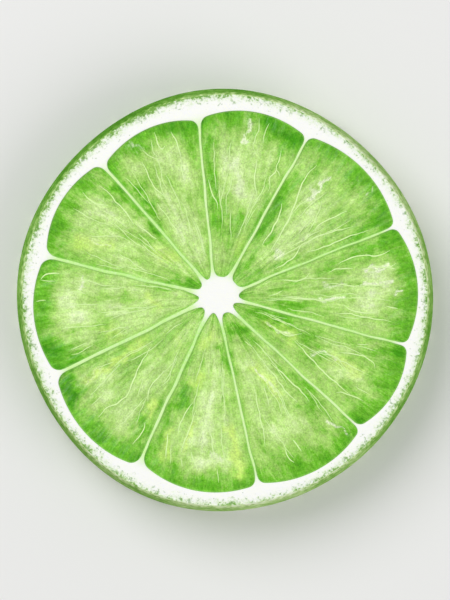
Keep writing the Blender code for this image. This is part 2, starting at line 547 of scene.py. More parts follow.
def make_skin(material):
    """The skin as a closed ring, with its pores and both of its cut edges."""
    angle = round_steps(ROUND_STEPS)
    level = 0 * angle
    rings = []
    for inset in np.linspace(SKIN_DEPTH, CUT_ROUND, SKIN_FACE_ROWS + 1):
        gland = cut_glands(angle, level + inset)
        rings.append((face_rim(inset), THICKNESS - GLAND_DEPTH * gland, level + inset, gland))
    bend = CUT_ROUND * (1 - math.sqrt(0.5))
    levels = np.linspace(THICKNESS - CUT_ROUND, CUT_ROUND, SKIN_ROWS + 1)
    for z in (THICKNESS - bend, *levels, bend):
        pore = skin_pores(angle, level + z) * smooth(min(z, THICKNESS - z), 0.0, PORE_CLEAR)
        inset = SKIN_MARGIN + PORE_DEPTH * pore + (0.0 if z in levels else bend)
        reach = outline_radius(angle) * narrowing(z) - inset
        rings.append((polar(reach, angle), level + z, level, pore))
    for places, z, depth, pore in rings[SKIN_FACE_ROWS::-1]:
        rings.append((places * LOWER_FACE_GROWTH, THICKNESS - z, depth, pore))
    places, heights, depths, pores = (np.concatenate(part) for part in zip(*rings))
    points = np.column_stack((places, heights))
    numbers = np.arange(len(points)).reshape(-1, ROUND_STEPS)
    around = np.concatenate((numbers, numbers[:1]))
    faces = [around.ravel()[grid_faces(len(around), ROUND_STEPS, closed=True)][:, ::-1]]
    attributes = {
        "depth": depths,
        "pore": pores,
        # Painted shade: the skin is drawn darker on one side
        "side_shade": painted_side_shade(points),
        "from_cut": np.minimum(points[:, 2], THICKNESS - points[:, 2]),
    }
    return make_piece("skin", points, faces, attributes, material)


# The pulp

PULP_COLUMNS = 76
PULP_ROWS = 88
PULP_CROWDING = 0.5

# Relief: the pulp's surface lies PULP_DROP below the cut, swells between the walls, sinks
# between its juice sacs, less so at the walls, and reaches a little way into them. FLOW_WIDTH
# stands for half the width of any segment, and FLOW_SHARE is its part in the sacs' spread.
# The swell fades out within SWELL_SIDE of the walls and SWELL_END of the pith ring.
PULP_DROP = 0.22
PULP_SWELL = 0.10
SWELL_SIDE = 1.6
SWELL_END = 1.5
PULP_OVERLAP = 0.03
SAC_HEIGHT = 0.20
SAC_WIDTH = 1.25
SAC_LENGTH = 5.0
SAC_BEND = 1.2
SAC_ROUND = 0.55
SAC_LEAST = 0.35
SEAM_WIDTH = 0.16
FLOW_WIDTH = 6.5
FLOW_SHARE = 0.35

# How far the painted shade reaches into the pulp from the walls, the pith ring and the core,
# where the pulp is drawn darker, and how wide the light line is along all three
WALL_SHADE = 2.6
END_SHADE = 4.4
TIP_SHADE = 1.7
WALL_HALO = 0.22

# Colour washes in the pulp: soft strokes given by direction and distance from the core at one
# end, the same at the other, half width and strength. WASH_STRAY is how ragged they are.
WASH_GRAIN = 0.7
WASH_STRAY = 1.1
WASHES = {}
# The white washes are painted highlights: wet glints on the pulp
WASHES["white"] = (
    (48.2, 16.4, 47.4, 19.3, 0.36, 0.9), (50, 17.2, 45.8, 16.5, 0.3, 0.5),
    (38.8, 8.6, 36, 8.8, 0.5, 0.8), (36.4, 22.4, 34.4, 21.8, 0.22, 0.6),
    (80.8, 21.5, 80.2, 19, 0.32, 0.9), (81, 15.6, 79, 13.6, 0.8, 0.3),
    (120.6, 20.8, 117.4, 20.2, 0.5, 0.5), (107, 15.9, 104.6, 15.4, 0.5, 0.4),
    (155.2, 16.6, 154.8, 14.4, 0.4, 0.5), (140.6, 18, 138, 16.6, 0.7, 0.3),
    (174.8, 16.4, 172, 16.1, 0.28, 0.8), (213, 19.4, 211.4, 17, 0.3, 0.5),
    (270.6, 19.3, 267.6, 18.7, 0.5, 0.6), (264.6, 12.2, 262, 11.6, 0.8, 0.2),
    (313.6, 21.8, 310.8, 19.8, 0.26, 0.8), (301.8, 13.2, 297.6, 9.4, 0.28, 0.7),
    (333.6, 16, 330, 12.8, 0.28, 0.7), (331.2, 9.4, 333.4, 6.8, 0.34, 0.7),
    (371.4, 20.4, 371.2, 18.4, 0.36, 1), (365.6, 20.9, 364.8, 17, 0.3, 0.8),
    (362.1, 21.8, 361.9, 21.1, 0.22, 0.8), (360.2, 14.6, 359.2, 12.2, 0.4, 0.8),
    (366.2, 15, 368, 12.6, 0.26, 0.6),
)
# The pale washes are painted light: the glow of light through the thin flesh in the segments'
# middles
WASHES["pale"] = (
    (46, 16, 41, 14.8, 0.9, 0.7), (43, 13, 36, 12.4, 1.2, 0.6), (40, 8, 44, 16, 1.8, 0.5),
    (84, 16.4, 78, 12.4, 1.6, 1), (79, 17.6, 76, 12, 1.5, 0.5), (104, 15, 110, 18, 1.6, 0.6),
    (114, 6, 117, 13, 1.8, 0.6), (138, 13, 144, 18, 1.6, 0.7), (148, 12, 152, 16, 1.5, 0.5),
    (182, 18, 189, 16.6, 1.9, 0.9), (190, 11.4, 184, 12.6, 1.3, 0.5),
    (220, 17.6, 216, 16.6, 1.3, 0.7), (231, 19.8, 226, 10.6, 1.5, 0.4),
    (271, 19.4, 262, 20, 1.1, 0.8), (262, 17, 266, 12, 1.7, 0.7),
    (302.6, 17.8, 294, 17.2, 1.5, 0.6), (296, 8.4, 289, 8.6, 0.9, 0.7),
    (307, 9.6, 296, 13.4, 1.5, 0.3), (331.8, 17.4, 330.6, 19, 0.9, 0.8),
    (327, 17, 325.6, 15.6, 0.7, 0.5), (336, 16.4, 334.6, 13.6, 0.9, 0.4),
    (368, 19, 357, 17.6, 1.5, 0.8), (373.4, 11, 366, 10, 1, 0.4), (124, 19.5, 124, 18, 1.3, 0.3),
    (143, 8.5, 143, 5, 1.2, 0.4), (161, 12.5, 161, 9.5, 1.1, 0.4), (187, 9, 187, 4.5, 1.2, 0.5),
    (198, 12.5, 198, 5.5, 1, 0.35), (174, 16.5, 174, 9.5, 1.3, 0.45), (226, 8.5, 226, 4.5, 1, 0.4),
    (266, 8.5, 266, 4.5, 1.2, 0.4), (277, 19.5, 277, 14, 1.4, 0.32),
    (288, 16, 288, 9.5, 1.1, 0.38), (313, 19.6, 313, 18, 1.2, 0.28),
)
WASHES["yellow"] = (
    (66.5, 7.2, 65, 5.6, 0.5, 0.4), (158.6, 18.2, 154, 14.4, 0.8, 0.6),
    (144, 9, 136, 7.2, 0.8, 0.5), (185, 7.6, 181.4, 8.2, 0.7, 0.7), (200, 13, 196, 13.8, 0.7, 0.4),
    (212.2, 18.6, 212.6, 13.2, 0.45, 0.8), (211.4, 12.2, 208.2, 10.4, 0.6, 0.7),
    (239.4, 16.2, 238.2, 15, 0.5, 0.9), (232, 7.4, 222, 6.8, 0.6, 0.3),
    (276.6, 21.4, 275.4, 15.8, 0.6, 0.9), (258.6, 9.4, 253, 10.8, 0.6, 0.7),
    (256.6, 18, 257.4, 15.6, 0.4, 0.7), (262, 4.4, 252, 5.8, 0.7, 0.6),
    (251.6, 20.2, 249.4, 17, 0.5, 0.6), (302, 13.4, 297.4, 9.3, 0.55, 0.8),
    (332, 18.6, 333.4, 15.4, 0.7, 0.6), (331.4, 10.2, 333.6, 6.4, 0.6, 0.6),
)
# The dark washes are partly painted shade, at the segments' ends, along walls and beside threads,
# and partly darker tone
WASHES["dark"] = (
    (50.2, 10.8, 50.3, 8.2, 0.38, 1), (58, 17, 56, 8, 0.8, 0.5), (26, 22, 24, 18, 0.8, 0.5),
    (68, 18.9, 66.6, 17.2, 0.4, 0.5), (74, 21.6, 64, 20.6, 0.9, 0.5), (93, 19, 91, 10, 0.9, 0.5),
    (127.6, 16.4, 127.4, 13, 0.7, 0.8), (108, 21.2, 101, 20.2, 0.6, 0.4),
    (133.4, 17.6, 133.2, 11, 0.7, 0.9), (145, 13.6, 144, 11, 0.8, 0.6),
    (160, 5.8, 155, 3.6, 0.7, 1), (196, 20.4, 203, 18.2, 1, 0.7), (193, 18, 193.4, 14.4, 0.4, 0.5),
    (180, 11.4, 174.4, 9.8, 0.6, 0.4), (214, 13.2, 212.6, 10.8, 0.4, 0.6),
    (216, 21.6, 208, 20.4, 0.9, 0.7), (230.4, 16, 229, 15, 0.6, 0.4),
    (241.6, 20.4, 241.4, 14.6, 0.7, 0.4), (252.4, 13.8, 250, 11, 0.8, 0.7),
    (278.4, 8.4, 274.6, 5.6, 0.7, 0.8), (247, 20, 246.6, 14, 0.7, 0.5),
    (312, 5.2, 290, 4.2, 0.8, 0.8), (296.6, 17.4, 295.4, 16, 0.5, 0.5),
    (313, 19.6, 312.4, 13.2, 0.7, 0.4), (331.6, 14.8, 330.6, 14.2, 0.34, 0.7),
    (336.6, 9, 334.4, 9, 0.45, 0.7), (343, 22.4, 340, 19.6, 0.9, 0.6),
    (343.4, 5.8, 335, 4, 0.7, 0.6), (378, 20.6, 377.6, 16.6, 0.8, 0.6),
    (365, 10.6, 364.4, 9.4, 0.5, 0.4), (354, 10.2, 352.6, 7, 0.6, 0.5),
    (53.5, 12.5, 53, 4.5, 1.2, 0.45), (28, 9, 28, 4.5, 0.9, 0.3), (56.5, 13, 56.5, 9.5, 1, 0.6),
    (91, 13, 91, 9, 0.8, 0.6), (340, 8.5, 340, 4.5, 0.7, 0.7), (84, 13, 84, 9, 2.2, 0.45),
    (90, 17, 90, 13, 1, 0.25), (101, 20, 101, 14, 1.6, 0.25), (137, 17, 137, 13.5, 1.6, 0.45),
    (180, 19.8, 180, 18, 1.8, 0.2), (220, 14.5, 220, 9.5, 2.2, 0.25),
    (239, 20, 239, 17.8, 1.3, 0.4), (301, 20, 301, 18, 1.5, 0.35), (336, 13, 336, 4.5, 1.2, 0.45),
    (332, 20, 332, 18, 2.2, 0.2),
)

# Fine light threads on the upper face, segment by segment: half the width, which
# DRAWN_THICKNESS multiplies, then by turns the direction and the distance from the core of
# each place that the thread runs through
DRAWN_THICKNESS = 1.3
THREADS = {}
THREADS[0] = (
    (0.07, 53.3, 19.7, 54.4, 18.2, 53.2, 16.3, 50.6, 14.3, 47.4, 11.8, 43.9, 9.2, 42, 8.2),
    (0.07, 56.3, 13.6, 53.6, 12, 51.6, 10, 50.8, 8.2),
    (0.06, 34.3, 18.5, 34.6, 17.2, 36, 15.2, 35.5, 13.8),
    (0.06, 28.1, 18.2, 29.6, 16.3, 31.6, 14.3, 32.6, 12.5),
    (0.06, 33, 12, 29, 10.4, 27.2, 8.8, 26.9, 7.6),
    (0.06, 24.4, 19.6, 25.3, 17.4, 25.6, 15.5, 26, 13.5, 27.4, 11.9),
    (0.05, 43.5, 17, 41, 15.8, 38, 14.4, 36.3, 13.3),
)
THREADS[1] = (
    (0.05, 77.4, 22, 76.6, 20.5, 77.4, 18.7, 76, 18),
    (0.05, 73.7, 21.7, 74.4, 20, 74, 19.2),
    (0.06, 74.6, 17.2, 74, 15.8, 72.6, 14.3, 70.5, 13.4, 69.4, 13),
    (0.06, 67, 19.2, 66.2, 17.4, 65.6, 16.5, 66.9, 15.5, 65.7, 14.8, 65.2, 14),
    (0.05, 65.8, 16.8, 64.6, 16.6, 63.6, 16.2),
    (0.05, 85.4, 18.8, 85.9, 16.6, 85.5, 16),
    (0.05, 91.9, 18.6, 91.9, 16.4, 91.8, 14.5, 91.3, 12.8),
    (0.06, 94.8, 14.2, 94.4, 13.2, 93.2, 12.2, 91, 11.4, 90.4, 10.6),
    (0.05, 82, 10.6, 81, 9.2, 79.6, 8, 78, 7),
)
THREADS[2] = (
    (0.06, 111.2, 21.2, 111.6, 19.6, 110.9, 19, 109.3, 19.3),
    (0.06, 106.2, 20.6, 105, 19.5, 104.9, 17.3),
    (0.05, 105.4, 16.9, 106.2, 15.5, 105.6, 14.4),
    (0.05, 117, 19.8, 115.6, 18.7, 113.8, 18.1),
    (0.05, 113.2, 20.5, 114.3, 19, 113, 18.3),
    (0.06, 119.4, 18.6, 119.8, 17, 119.9, 15.2, 118.8, 14.2, 118.4, 13.2),
    (0.05, 124.4, 18.4, 125, 16.5, 125.3, 14.8, 126.4, 12.8, 127, 11.6),
    (0.06, 123, 13.5, 122.6, 12, 122.6, 10.4, 121.6, 8.8),
    (0.05, 111.6, 12.4, 110.6, 11.4, 111.8, 9.6, 113.4, 8.2),
)
THREADS[3] = (
    (0.06, 142.2, 20.6, 142.8, 19.3, 142, 18.2, 140.2, 17.2),
    (0.06, 136.5, 19.6, 136.2, 18.4, 136.9, 16.6, 136.9, 15.4, 138.6, 13.8, 139.2, 13.2),
    (0.05, 148.4, 20.4, 148.3, 18.6, 147.6, 16.8, 146.6, 16),
    (0.06, 138, 12.8, 137.4, 11.4, 136.3, 10.2),
    (0.05, 143.2, 17.6, 142.6, 15.6, 143, 13.6),
    (0.05, 154.5, 17.2, 151.8, 15.5, 149, 14.2, 147, 12.6),
    (0.05, 141.4, 12.2, 142.2, 10.6, 144, 9.2),
)
THREADS[4] = (
    (0.07, 174, 21.4, 172.2, 20.9, 171.6, 20, 171.3, 19.2),
    (0.05, 174.2, 21.3, 174.5, 20.6, 174.3, 19.6),
    (0.05, 181, 21.8, 180.9, 20.6),
    (0.05, 182.8, 19.4, 182.9, 17, 183, 14.4),
    (0.05, 201.2, 18.8, 201.4, 17.6, 200.6, 16),
    (0.05, 199.3, 18.7, 199.2, 17.4, 198.6, 16.5),
    (0.05, 191, 19.2, 191.5, 17.5, 192.4, 15.6, 193.2, 13.8),
    (0.05, 175.6, 14.2, 174.6, 12.8, 173.9, 11.2),
    (0.05, 178, 18.2, 177.6, 16.8, 178.6, 15.8),
)
THREADS[5] = (
    (0.07, 224.6, 20.2, 224.4, 18.8, 225.9, 17.6, 226.5, 15.8, 224.6, 14.5, 221.3, 12.8, 218, 10.9,
     215.6, 9.9),
    (0.05, 230.6, 15.2, 228.6, 13.9, 226.6, 13.2),
    (0.06, 235.6, 15, 233.2, 13.8, 232.2, 13.2, 232.7, 11.8, 233.4, 10.8),
    (0.06, 239.4, 20.2, 240.4, 19, 240.3, 17.8, 239.6, 17.2),
    (0.05, 209.6, 16.8, 210.4, 15.8, 211.7, 14.6),
    (0.05, 220.1, 20, 220.2, 18.4, 219.2, 17.6),
    (0.05, 214.2, 7.6, 213.4, 6.2, 214.4, 5.2),
)
THREADS[6] = (
    (0.06, 268.3, 18.9, 267.4, 17.2, 266, 15.6),
    (0.06, 263, 20.8, 261.2, 19.6, 260, 18.6),
    (0.06, 256.4, 19, 256.8, 17.4, 257.8, 15.6, 258.6, 13.6),
    (0.06, 253.3, 17, 253.2, 15.2, 254.5, 13.6, 256.4, 12.8),
    (0.06, 251.8, 20.2, 250.8, 18.6, 249.6, 17.2),
    (0.05, 253.8, 20.6, 252.9, 19.4, 252.4, 18.4),
    (0.05, 270, 22, 269.8, 20.4),
    (0.05, 273.3, 14, 273.2, 12, 272.8, 10.4),
    (0.05, 257.8, 20.6, 256.6, 19.6),
)
THREADS[7] = (
    (0.07, 311.5, 16.4, 311.6, 15.2, 310.9, 13.4, 310.2, 11.6, 308.9, 10),
    (0.06, 306.9, 15.6, 306.1, 14.4, 305.6, 12.8, 305.7, 11.4, 304.9, 9.8),
    (0.06, 298.4, 20.8, 298.2, 19.6, 297.6, 19),
    (0.06, 294.6, 21.6, 293.8, 20.8, 293.6, 19.6),
    (0.06, 287.3, 18.6, 288.7, 17, 289.2, 15.4, 290.3, 13.2, 291.9, 11.6),
    (0.05, 295, 14.2, 296.4, 12.8, 297.8, 11.6),
    (0.05, 300.4, 16.4, 301.4, 14.8, 302, 13.2),
    (0.05, 305, 7.4, 301.6, 6),
)
THREADS[8] = (
    (0.06, 335.8, 20.5, 337.4, 20, 338, 18.6, 337.2, 17, 335.6, 15.9),
    (0.06, 324.4, 21.2, 323.7, 19.6, 322.6, 18.6, 321.2, 18),
    (0.07, 323.7, 19.4, 324.3, 17.4, 324.6, 16, 326.2, 13.8, 328, 12, 330.6, 10.4),
    (0.05, 342.6, 18.7, 341.8, 17.4),
    (0.05, 341.3, 19.8, 341.5, 18.4, 340.6, 17.4),
    (0.06, 337, 10.8, 334.4, 10.2, 331.6, 9.4, 331.6, 8.2, 333.4, 6.8),
    (0.05, 327.4, 21.2, 327.2, 19.4),
    (0.05, 330.6, 17.6, 332, 16.6, 333.4, 15.8, 331.4, 13.8, 329.4, 12.5),
)
THREADS[9] = (
    (0.07, 375.3, 21.2, 375, 19.6, 376.4, 17.8, 376.8, 16.4, 375.8, 14.8),
    (0.07, 371, 21.6, 370.4, 20.4, 371.4, 19, 371.2, 17.4),
    (0.06, 369.4, 21.4, 370.4, 20),
    (0.06, 372.6, 16.4, 373.6, 14.8, 373.4, 13.6),
    (0.06, 365.8, 20.8, 364.6, 19.4, 364.8, 17.8, 364.8, 16.4, 366.2, 14.8, 367.8, 12.8),
    (0.06, 359.2, 20.4, 360, 18.6, 360.2, 16.4, 360.2, 15.2),
    (0.06, 356.6, 21.4, 357.4, 20),
    (0.06, 354.9, 19, 354.3, 17.2, 355.2, 15.8, 357, 14.8),
    (0.06, 352.2, 20.8, 352.6, 18.4, 353, 16, 352.8, 14),
    (0.06, 360.2, 14.8, 358.6, 13.2, 359.2, 11, 359.8, 8.4, 360, 6),
    (0.06, 377, 7.6, 374, 8.6, 372.2, 9.6, 373, 10.6, 375.4, 11.2),
    (0.05, 366.8, 7.8, 364, 7, 362, 6),
)

# Random threads: how many on the upper and the lower face of a segment, how thick, and how
# often one has a fork
LOOSE_THREADS = (6, 15)
LOOSE_CORNERS = 4
LOOSE_RADIUS = 0.062
FORK_RADIUS = 0.055
FORK_CHANCE = 0.35

# Every thread: sides, length of a step, and how it wanders and flattens. One of FULL_RADIUS
# or more has the full colour.
THREAD_SIDES = 5
THREAD_STEP = 0.24
THREAD_WIGGLE = 0.16
THREAD_GRAIN = 0.7
THREAD_FLATNESS = 0.6
FULL_RADIUS = 0.08


def washes(kind, points):
    """How strongly the washes of one kind colour the points, from 0 up."""
    strength = np.zeros(len(points))
    x, y = points.T / WASH_GRAIN + 30
    stray = np.stack((noise(x, y, 71), noise(x, y, 72)), axis=-1) - 0.5
    points = points + WASH_STRAY * stray
    for direction, distance, to_direction, to_distance, width, full in WASHES[kind]:
        start = from_core(np.array(distance), math.radians(direction))
        run = from_core(np.array(to_distance), math.radians(to_direction)) - start
        share = np.clip((points - start) @ run / (run @ run), 0, 1)
        gap = points - start - share[:, None] * run
        near = np.exp(-np.sum(gap**2, axis=1) / width**2)
        strength = np.maximum(strength, full * near)
    return strength


def pulp_relief(number, side, across, along):
    """One face of a segment's pulp: relief above its floor, and the material's numbers."""
    radius, angle, half_width = segment_place(number, across, along)
    seed = 100 + 20 * number + side
    spread = FLOW_SHARE * FLOW_WIDTH + (1 - FLOW_SHARE) * half_width
    bend = SAC_BEND * (noise(radius / SAC_LENGTH, across * 1.5 + 7, seed) - 0.5)
    x = across * spread / SAC_WIDTH + bend + 20
    y = radius / SAC_LENGTH + 3
    _, margin, own = cells(x, y, seed + 1)
    dome = smooth(margin, 0.0, SAC_ROUND)
    to_wall = (1 - np.abs(across)) * half_width
    to_end = (1 - along) * FRUIT_RADIUS
    to_core = along * FRUIT_RADIUS
    swell = smooth(to_wall, 0.0, SWELL_SIDE) * smooth(to_end, 0.0, SWELL_END)
    swell = swell * smooth(along, 0.0, 0.1)
    sac_height = SAC_HEIGHT * (dome - 1) * (SAC_LEAST + (1 - SAC_LEAST) * swell)
    relief = PULP_SWELL * swell + sac_height
    values = {
        "seam": 1 - smooth(margin, 0.0, SEAM_WIDTH),
        "sac": own,
        "thread": 0 * own,
        # Painted shade: the pulp is drawn darker towards the pith ring, the core's tip and the
        # walls
        "inside": np.minimum(to_end / END_SHADE, 0.5 + to_core / TIP_SHADE).clip(0, 1),
        "painted_wall_shade": (1 - to_wall / WALL_SHADE).clip(0, 1),
        "halo": 1 - smooth(np.minimum(to_wall, np.minimum(to_end, to_core)), 0.0, WALL_HALO),
        "flow": np.stack((across * FLOW_WIDTH, radius, 0 * radius + 10.0 * number), -1),
    }
    places = from_core(radius, angle)
    for kind in WASHES:
        values[kind] = washes(kind, places)
    return places, relief, values


def curve_through(corners, step):
    """Points about a step apart on a smooth curve through the corners."""
    before = 2 * corners[0] - corners[1]
    after = 2 * corners[-1] - corners[-2]
    hull = np.concatenate(([before], corners, [after]))
    path = []
    for a, b, c, d in zip(hull, hull[1:], hull[2:], hull[3:]):
        count = max(1, round(float(np.linalg.norm(c - b)) / step))
        for t in np.arange(count) / count:
            bend = 2 * a - 5 * b + 4 * c - d + t * (3 * b - a - 3 * c + d)
            path.append(b + 0.5 * t * (c - a + t * bend))
    return np.array([*path, corners[-1]])


def loose_threads(number, side):
    """Threads laid at random, most of them along the sacs and some forked."""
    rng = np.random.default_rng(500 + 20 * number + side)
    for _ in range(LOOSE_THREADS[side]):
        across = rng.uniform(-0.8, 0.8) + np.cumsum(rng.uniform(-0.09, 0.09, LOOSE_CORNERS))
        along = rng.uniform(0.12, 0.62) + np.arange(LOOSE_CORNERS) * rng.uniform(0.06, 0.11)
        radius, angle, _ = segment_place(number, across.clip(-0.9, 0.9), along)
        yield LOOSE_RADIUS, from_core(radius, angle)
        if rng.random() < FORK_CHANCE:
            across[1:] = across[0] + np.arange(1, LOOSE_CORNERS) * rng.choice((-0.07, 0.07))
            radius, angle, _ = segment_place(number, across.clip(-0.9, 0.9), along)
            yield FORK_RADIUS, from_core(radius, angle)[:-1]


def drawn_threads(number):
    """The threads of THREADS in one segment."""
    for radius, *places in THREADS[number]:
        direction, distance = np.reshape(places, (-1, 2)).T
        yield DRAWN_THICKNESS * radius, from_core(distance, np.radians(direction))


def thread_tube(number, side, radius, corners, seed):
    """A thread half sunk in the pulp: points with z above the pulp's floor, faces, and the
    material's numbers."""
    path = curve_through(corners, THREAD_STEP)
    count = len(path)
    run = np.arange(count) * THREAD_STEP
    ahead = np.gradient(path, axis=0)
    ahead /= np.linalg.norm(ahead, axis=1, keepdims=True)
    left = np.stack((-ahead[:, 1], ahead[:, 0]), axis=-1)
    wiggle = THREAD_WIGGLE * (noise(run / THREAD_GRAIN, 0 * run + seed, 31) - 0.5)
    path = path + left * wiggle[:, None]
    around = path - CORE
    angle = np.arctan2(around[:, 1], around[:, 0]) % FULL_TURN
    if number == len(SEGMENTS) - 1:
        angle = np.where(angle < math.pi, angle + FULL_TURN, angle)
    across, along = segment_share(number, np.hypot(*around.T), angle)
    _, relief, values = pulp_relief(number, side, across, along)
    share = np.linspace(0, 1, count)
    thick = radius * np.minimum(1.0, 0.25 + 3 * np.minimum(share, 1 - share))
    turn = FULL_TURN * np.arange(THREAD_SIDES) / THREAD_SIDES
    spread = left[:, None] * (thick[:, None] * np.cos(turn))[..., None]
    lift = relief[:, None] + THREAD_FLATNESS * thick[:, None] * (np.sin(turn) + 0.1)
    points = np.concatenate((path[:, None] + spread, lift[..., None]), axis=-1).reshape(-1, 3)
    quads = grid_faces(count, THREAD_SIDES, closed=True)
    ring = np.arange(THREAD_SIDES)
    caps = np.stack((ring[::-1], ring + (count - 1) * THREAD_SIDES))
    values = {key: np.repeat(value, THREAD_SIDES, axis=0) for key, value in values.items()}
    values["thread"] = np.full(len(points), min(1.0, radius / FULL_RADIUS))
    values["seam"] = np.zeros(len(points))
    return points, [quads, caps], values


def pulp_face(number, side):
    """The pulp of one face with its threads: points with z above the pulp's floor, faces
    that look up, the material's numbers, and the border of the pulp itself."""
    columns = column_places(PULP_COLUMNS, PULP_CROWDING)
    across, along = np.meshgrid(columns, np.linspace(0, 1, PULP_ROWS + 1), indexing="ij")
    shape = across.shape
    places, relief, values = pulp_relief(number, side, across.ravel(), along.ravel())
    numbers = np.arange(len(places)).reshape(shape)
    border = np.concatenate(
        (numbers[:-1, 0], numbers[-1, :-1], numbers[:0:-1, -1], numbers[0, :0:-1])
    )
    places[border] = widened(places[border], PULP_OVERLAP)
    points = [np.column_stack((places, relief))]
    faces = [grid_faces(*shape)]
    columns_of = {key: [value] for key, value in values.items()}
    start = len(places)
    threads = list(loose_threads(number, side))
    if side == 0:
        threads += list(drawn_threads(number))
    for seed, (radius, corners) in enumerate(threads):
        tube, tube_faces, tube_values = thread_tube(number, side, radius, corners, seed)
        points.append(tube)
        faces += [part + start for part in tube_faces]
        for key, value in tube_values.items():
            columns_of[key].append(value)
        start += len(tube)
    attributes = {key: np.concatenate(value) for key, value in columns_of.items()}
    return np.concatenate(points), faces, attributes, border


def make_pulp(number, material):
    """The pulp of one segment, from the upper face through to the lower one."""
    upper, upper_faces, values, upper_border = pulp_face(number, 0)
    lower, lower_faces, lower_values, lower_border = pulp_face(number, 1)
    upper[:, 2] = THICKNESS - PULP_DROP + upper[:, 2]
    lower[:, :2] *= LOWER_FACE_GROWTH
    lower[:, 2] = PULP_DROP - lower[:, 2]
    start = len(upper)
    faces = upper_faces + [part[:, ::-1] + start for part in lower_faces]
    faces.append(side_strip(upper_border, lower_border + start))
    attributes = {key: np.concatenate((values[key], lower_values[key])) for key in values}
    points = np.concatenate((upper, lower))
    return make_piece(f"pulp_{number + 1}", points, faces, attributes, material)


# Materials


class Nodes:
    """Short ways to add and join the nodes of one material."""

    def __init__(self, name):
        self.material = bpy.data.materials.new(name)
        self.material.use_nodes = True
        self.tree = self.material.node_tree
        self.shader = self.tree.nodes["Principled BSDF"]

    def set(self, socket, value):
        """Gives a socket a value, or joins it to another node's socket."""
        if isinstance(value, bpy.types.NodeSocket):
            self.tree.links.new(value, socket)
        else:
            socket.default_value = value

    def node(self, kind, output, inputs, **settings):
        """The named output of a new node with its settings and inputs."""
        node = self.tree.nodes.new(kind)
        for name, value in settings.items():
            setattr(node, name, value)
        for name, value in inputs.items():
            self.set(node.inputs[name], value)
        return node.outputs[output]

    def attribute(self, name, output="Fac"):
        """The numbers of that name that the piece keeps on its points."""
        return self.node("ShaderNodeAttribute", output, {}, attribute_name=name)

    def maths(self, operation, first, second):
        return self.node("ShaderNodeMath", 0, {0: first, 1: second}, operation=operation)

    def times(self, first, second):
        return self.maths("MULTIPLY", first, second)

    def share(self, name, weight):
        """An attribute, by weight."""
        return self.times(self.attribute(name), weight)

    def add_away(self, total, *parts):
        """total, and how far each source is from its middle value, by weight."""
        for source, weight in parts:
            away = self.times(self.maths("SUBTRACT", source, 0.5), weight)
            total = self.maths("ADD", total, away)
        return total

    def between(self, value, low, high, to_low=0.0, to_high=1.0):
        """Follows value smoothly from low to high, and goes from to_low to to_high."""
        inputs = {"Value": value, "From Min": low, "From Max": high}
        inputs.update({"To Min": to_low, "To Max": to_high})
        return self.node("ShaderNodeMapRange", 0, inputs, interpolation_type="SMOOTHSTEP")

    def scaled(self, vector, scale):
        return self.node("ShaderNodeVectorMath", 0, {0: vector, 1: scale}, operation="MULTIPLY")

    def place(self):
        """The place on the slice, in millimetres."""
        coordinates = self.node("ShaderNodeTexCoord", "Object", {})
        return self.scaled(coordinates, (1 / MM, 1 / MM, 1 / MM))

    def noise(self, vector, scale, detail, roughness=0.55):
        inputs = {"Vector": vector, "Scale": scale, "Detail": detail, "Roughness": roughness}
        return self.node("ShaderNodeTexNoise", "Fac", inputs)

    def mix(self, factor, first, second):
        inputs = {"Factor": factor, "A": colour(first), "B": colour(second)}
        return self.node("ShaderNodeMix", "Result", inputs, data_type="RGBA")

    def brighter(self, shade, factor):
        return self.node("ShaderNodeHueSaturation", "Color", {"Color": shade, "Value": factor})

    def ramp(self, value, *stops):
        """Colours for value. A stop is its place and what picked takes."""
        shade = self.node("ShaderNodeValToRGB", "Color", {"Fac": value})
        elements = shade.node.color_ramp.elements
        while len(elements) < len(stops):
            elements.new(0.5)
        for element, (position, *values) in zip(elements, stops):
            element.position = position
            element.color = colour(picked(*values))
        return shade

    def bump(self, height, distance, strength, after=None):
        """Relief of that distance in metres, on top of the relief after."""
        inputs = {"Height": height, "Distance": distance, "Strength": strength}
        if after is not None:
            inputs["Normal"] = after
        return self.node("ShaderNodeBump", "Normal", inputs)

    def surface(self, inputs):
        """Sets the shader's own sockets by name, and returns the material."""
        for name, value in inputs.items():
            self.set(self.shader.inputs[name], value)
        return self.material


def colour(value):
    """A colour as a shader takes it; a socket is passed on as it is."""
    return value if isinstance(value, bpy.types.NodeSocket) else (*value[:3], 1.0)


def picked(red, green, blue):
    """The linear colour that shows as these values from 0 to 255 in a picture."""
    return tuple(Color((red / 255, green / 255, blue / 255)).from_srgb_to_scene_linear())


